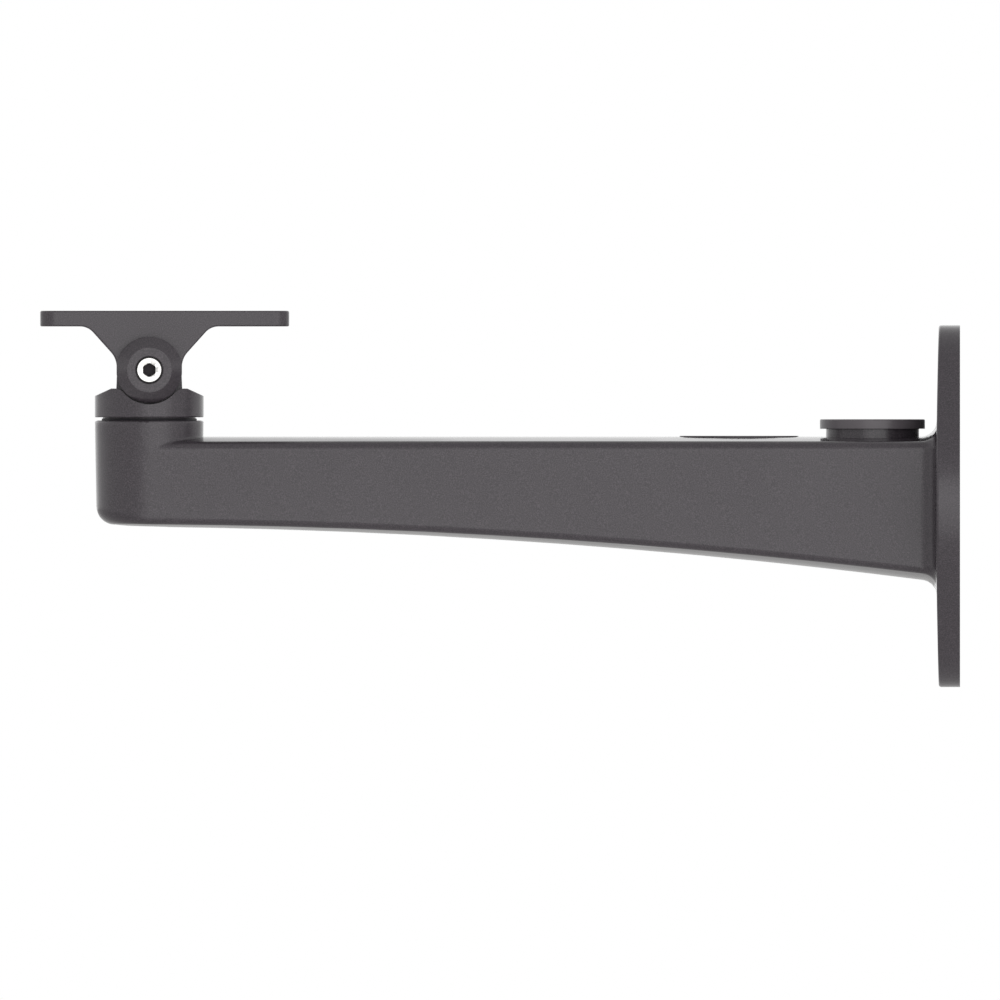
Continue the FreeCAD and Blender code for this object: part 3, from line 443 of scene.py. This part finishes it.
def makeHexNut(look, name, steel):
    # a hexagon with round end faces, whose corners are turned off by a cone at each end
    nut = bmesh.new()
    height, faceRadius, holeRadius = look["height"], look["faceRadius"], look["holeRadius"]
    slope = math.tan(math.radians(look["coneAngle"]))
    lines = []
    for level, way in ((0, 1), (height, -1)):
        for radius in (faceRadius, holeRadius):
            bmesh.ops.create_circle(nut, segments=ringSteps, radius=radius,
                                    matrix=Matrix.Translation((0, 0, level)))
        hexLine = addHexagon(nut, look["flats"], level)
        for vert in {vert for edge in hexLine for vert in edge.verts}:
            vert.co.z += way * (vert.co.to_2d().length - faceRadius) * slope
        rimEdges = ringAt(nut, faceRadius, level)
        holeEdges = ringAt(nut, holeRadius, level)
        bmesh.ops.bridge_loops(nut, edges=rimEdges + hexLine)
        bmesh.ops.bridge_loops(nut, edges=rimEdges + holeEdges)
        lines.append((hexLine, holeEdges))
    bmesh.ops.bridge_loops(nut, edges=lines[0][0] + lines[1][0])
    bmesh.ops.bridge_loops(nut, edges=lines[0][1] + lines[1][1])
    bmesh.ops.recalc_face_normals(nut, faces=nut.faces)
    finishFastener(nut, look, name, [steel])


# Split spring washers, wound from square wire: almost a full turn that climbs a little
washerTurn = 345             # degrees, and the rest is the gap
springWashers = {
    "tiltSpringWasher": {
        "node": "tilt_spring_washer", "body": "head", "place": (swivelX, -16.9 * mm, tiltZ), "turn": (90, 0),
        "inner": 3.1 * mm, "outer": 4.9 * mm, "thick": 1.45 * mm, "climb": 0.1 * mm,
    },
    "swivelSpringWasher": {
        "node": "swivel_spring_washer", "body": "swivel", "place": (swivelX, 0, 6.5 * mm), "turn": (0, 0),
        "inner": 5.1 * mm, "outer": 7.85 * mm, "thick": 2.3 * mm, "climb": 0.15 * mm,
    },
}


def makeSpringWasher(look, name, steel):
    washer = bmesh.new()
    inner, outer, thick = look["inner"], look["outer"], look["thick"]
    corners = [washer.verts.new((radius, 0, height)) for radius, height in
               ((inner, 0), (outer, 0), (outer, thick), (inner, thick))]
    wire = washer.faces.new(corners)
    bmesh.ops.spin(washer, geom=[wire], cent=(0, 0, 0), axis=(0, 0, 1),
                   dvec=(0, 0, look["climb"] / ringSteps), angle=math.radians(washerTurn), steps=ringSteps,
                   use_duplicate=False)
    bmesh.ops.recalc_face_normals(washer, faces=washer.faces)
    finishFastener(washer, look, name, [steel])


makeSocketScrew(tiltScrew, "tiltScrew", tiltSteel, socketShadeMaterial)
makeSocketScrew(swivelScrew, "swivelScrew", swivelSteel, socketShadeMaterial)
makeHexNut(tiltNut, "tiltNut", tiltSteel)
makeSpringWasher(springWashers["tiltSpringWasher"], "tiltSpringWasher", tiltSteel)
makeSpringWasher(springWashers["swivelSpringWasher"], "swivelSpringWasher", swivelSteel)
print("fasteners made")


# Studio: a pale floor well under the bracket, white walls that get dimmer towards the ceiling, and a large
# softbox behind the camera.
studio = {
    "middle": Vector((-0.19, 0, 0)),
    "floorColour": "#F1F0EF",
    "floorRoughness": (0.75, 0.85),
    "floorShine": 0.1,
    "floorClouds": 6,            # in each metre, of slightly duller paint
    "floorHeight": -1.8,         # below the front softbox, so that it hides none of it
    "floorRadius": 30.0,
    "fill": 0.6,                 # share of the walls' light that reaches matt surfaces
    "wallGlow": 1.08,            # what glossy surfaces mirror at the height of the bracket
    "ceilingGlow": 0.75,         # and straight above it
    "wallEnds": 0.15,            # where that change starts and ends, as a direction's rise
    "ceilingStarts": 0.75,
    "floorGlow": 0.125,          # light that the floor gives beside what it scatters
    "distance": 3.0,             # of the softbox, from the middle
    "keyAngle": 13,              # degrees to the right of the camera
    "keyWidth": 3.4,
    "keyHeight": 3.1,
    "keyRadiance": 1.06,
}

floorMaterial, floorTree, floorShader = newMaterial("pale_painted_floor")
floorPlace = addNode(floorTree, "ShaderNodeTexCoord")
floorNoise = addNode(floorTree, "ShaderNodeTexNoise", {"Scale": studio["floorClouds"], "Detail": 3},
                     {"Vector": (floorPlace, "Object")})
floorGloss = addNode(floorTree, "ShaderNodeMapRange",
                     {"To Min": studio["floorRoughness"][0], "To Max": studio["floorRoughness"][1]},
                     {"Value": (floorNoise, "Fac")})
floorTree.links.new(floorGloss.outputs["Result"], floorShader.inputs["Roughness"])
floorRays = addNode(floorTree, "ShaderNodeLightPath")
floorWhite = addNode(floorTree, "ShaderNodeEmission", {"Strength": 1.0})
floorSeen = addNode(floorTree, "ShaderNodeMixShader", links={"Fac": (floorRays, "Is Camera Ray"),
                    1: (floorShader, "BSDF"), 2: (floorWhite, "Emission")})
floorEnd = next(node for node in floorTree.nodes if node.type == "OUTPUT_MATERIAL")
floorTree.links.new(floorSeen.outputs["Shader"], floorEnd.inputs["Surface"])
floorShader.inputs["Base Color"].default_value = linearColour(studio["floorColour"])
floorShader.inputs["Specular IOR Level"].default_value = studio["floorShine"]
floorShader.inputs["Emission Color"].default_value = (1, 1, 1, 1)
floorShader.inputs["Emission Strength"].default_value = studio["floorGlow"]
floorMesh = bpy.data.meshes.new("studio_floor")
floorShape = bmesh.new()
bmesh.ops.create_circle(floorShape, cap_ends=True, segments=96, radius=studio["floorRadius"],
                        matrix=Matrix.Translation((studio["middle"].x, 0, studio["floorHeight"])))
floorShape.to_mesh(floorMesh)
floorShape.free()
floorMesh.materials.append(floorMaterial)
studioFloor = bpy.data.objects.new("studio_floor", floorMesh)
scene.collection.objects.link(studioFloor)

world = bpy.data.worlds.new("white_surround")
world.use_nodes = True
scene.world = world
surround = world.node_tree
surround.nodes.clear()
rays = addNode(surround, "ShaderNodeLightPath")
direction = addNode(surround, "ShaderNodeTexCoord")
heights = addNode(surround, "ShaderNodeSeparateXYZ", links={"Vector": (direction, "Generated")})
glow = addNode(surround, "ShaderNodeMapRange",
               {"From Min": studio["wallEnds"], "From Max": studio["ceilingStarts"],
                "To Min": studio["wallGlow"], "To Max": studio["ceilingGlow"]}, {"Value": (heights, "Z")})
share = addNode(surround, "ShaderNodeMapRange", {"To Min": studio["fill"], "To Max": 1.0},
                {"Value": (rays, "Is Glossy Ray")})
lit = addNode(surround, "ShaderNodeMath", links={0: (glow, "Result"), 1: (share, "Result")},
              operation="MULTIPLY")
strength = addNode(surround, "ShaderNodeMix", {"B": 1.0},
                   {"Factor": (rays, "Is Camera Ray"), "A": (lit, "Value")})
whiteness = addNode(surround, "ShaderNodeBackground", {"Color": (1, 1, 1, 1)},
                    {"Strength": (strength, "Result")})
addNode(surround, "ShaderNodeOutputWorld", links={"Surface": (whiteness, "Background")})


def addSoftbox(name, width, height, radiance, place, target):
    # a lamp of that radiance, which the camera itself doesn't see
    lamp = bpy.data.lights.new(name, "AREA")
    lamp.shape = "RECTANGLE"
    lamp.size, lamp.size_y = width, height
    lamp.energy = radiance * math.pi * width * height
    softbox = bpy.data.objects.new(name, lamp)
    softbox.location = place
    softbox.rotation_euler = (Vector(target) - Vector(place)).to_track_quat("-Z", "Y").to_euler()
    softbox.visible_camera = False
    scene.collection.objects.link(softbox)


keyTurn = math.radians(studio["keyAngle"])
keyPlace = studio["middle"] + studio["distance"] * Vector((math.sin(keyTurn), -math.cos(keyTurn), 0))
addSoftbox("softbox_front", studio["keyWidth"], studio["keyHeight"], studio["keyRadiance"],
           keyPlace, studio["middle"])
print("studio set")

# The photograph is a level side view without perspective: 1000 pixels across 410 mm.
picture = {"across": 410 * mm, "centreX": -188.6 * mm, "centreZ": 2.5 * mm, "distance": 1.5}
camera = bpy.data.cameras.new("picture_camera")
camera.type = "ORTHO"
camera.ortho_scale = picture["across"]
cameraObject = bpy.data.objects.new("picture_camera", camera)
cameraObject.location = (picture["centreX"], -picture["distance"], picture["centreZ"])
cameraObject.rotation_euler = (math.radians(90), 0, 0)
scene.collection.objects.link(cameraObject)
scene.camera = cameraObject
scene.view_settings.view_transform = "Standard"
